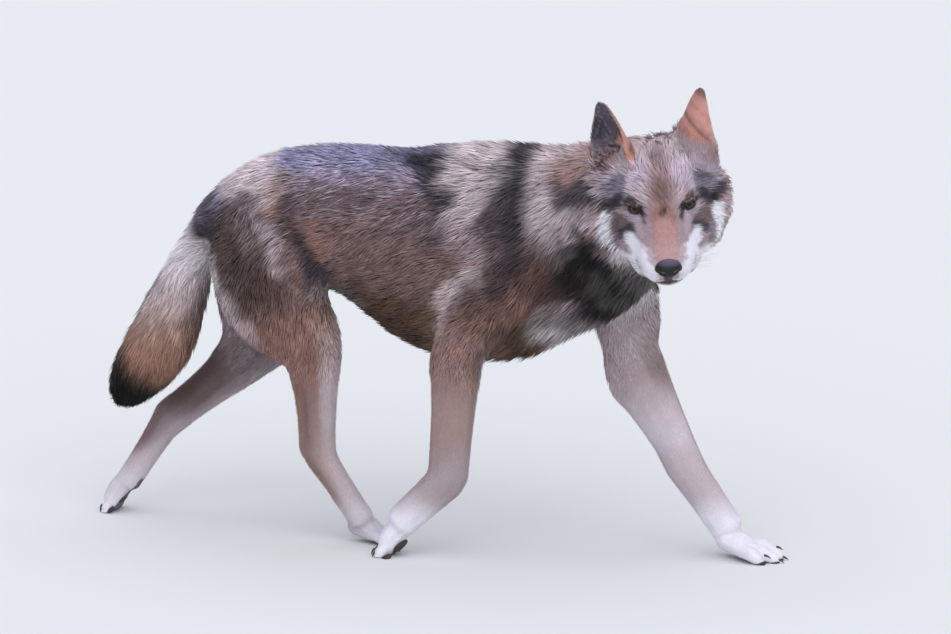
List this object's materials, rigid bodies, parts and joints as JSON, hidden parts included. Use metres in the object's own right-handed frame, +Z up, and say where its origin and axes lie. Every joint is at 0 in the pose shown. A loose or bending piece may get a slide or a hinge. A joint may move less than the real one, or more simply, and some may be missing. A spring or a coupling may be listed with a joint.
{
  "type": "wolf",
  "caption": "Life-size still model of a grey wolf at the trot, head turned to its right, bushy tail low, standing on four paws.",
  "frame": {"origin": "centre of the bounding box, at floor level", "axes": "+X the way the wolf travels, +Y its left, +Z up"},
  "size_m": [1.2652, 0.4152, 0.8469],
  "materials": {
    "saddle": "thick grizzled fur, dark-tipped",
    "ruff": "long grizzled fur",
    "face": "short fur",
    "ear": "short rust fur",
    "thigh": "grizzled fur",
    "shank": "short pale tan fur",
    "paw": "short pale fur",
    "tail": "long fur, dark at the tip",
    "tailTip": "long near-black fur",
    "eye": "amber-brown, glossy",
    "nose": "black, finely pebbled, slightly moist"
  },
  "bodies": {
    "root": {"head": "face", "nose": "nose", "eye_left": "eye", "eye_right": "eye", "ear_left": "ear", "ear_right": "ear", "neck": "ruff", "trunk": "saddle", "tail": "tail", "tail_tip": "tailTip", "fore_left_upper_arm": "thigh", "fore_left_forearm": "shank", "fore_left_paw": "paw", "fore_right_upper_arm": "thigh", "fore_right_forearm": "shank", "fore_right_paw": "paw", "hind_left_thigh": "thigh", "hind_left_lower_leg": "shank", "hind_left_hock": "shank", "hind_left_paw": "paw", "hind_right_thigh": "thigh", "hind_right_lower_leg": "shank", "hind_right_hock": "shank", "hind_right_paw": "paw"}
  },
  "joints": []
}
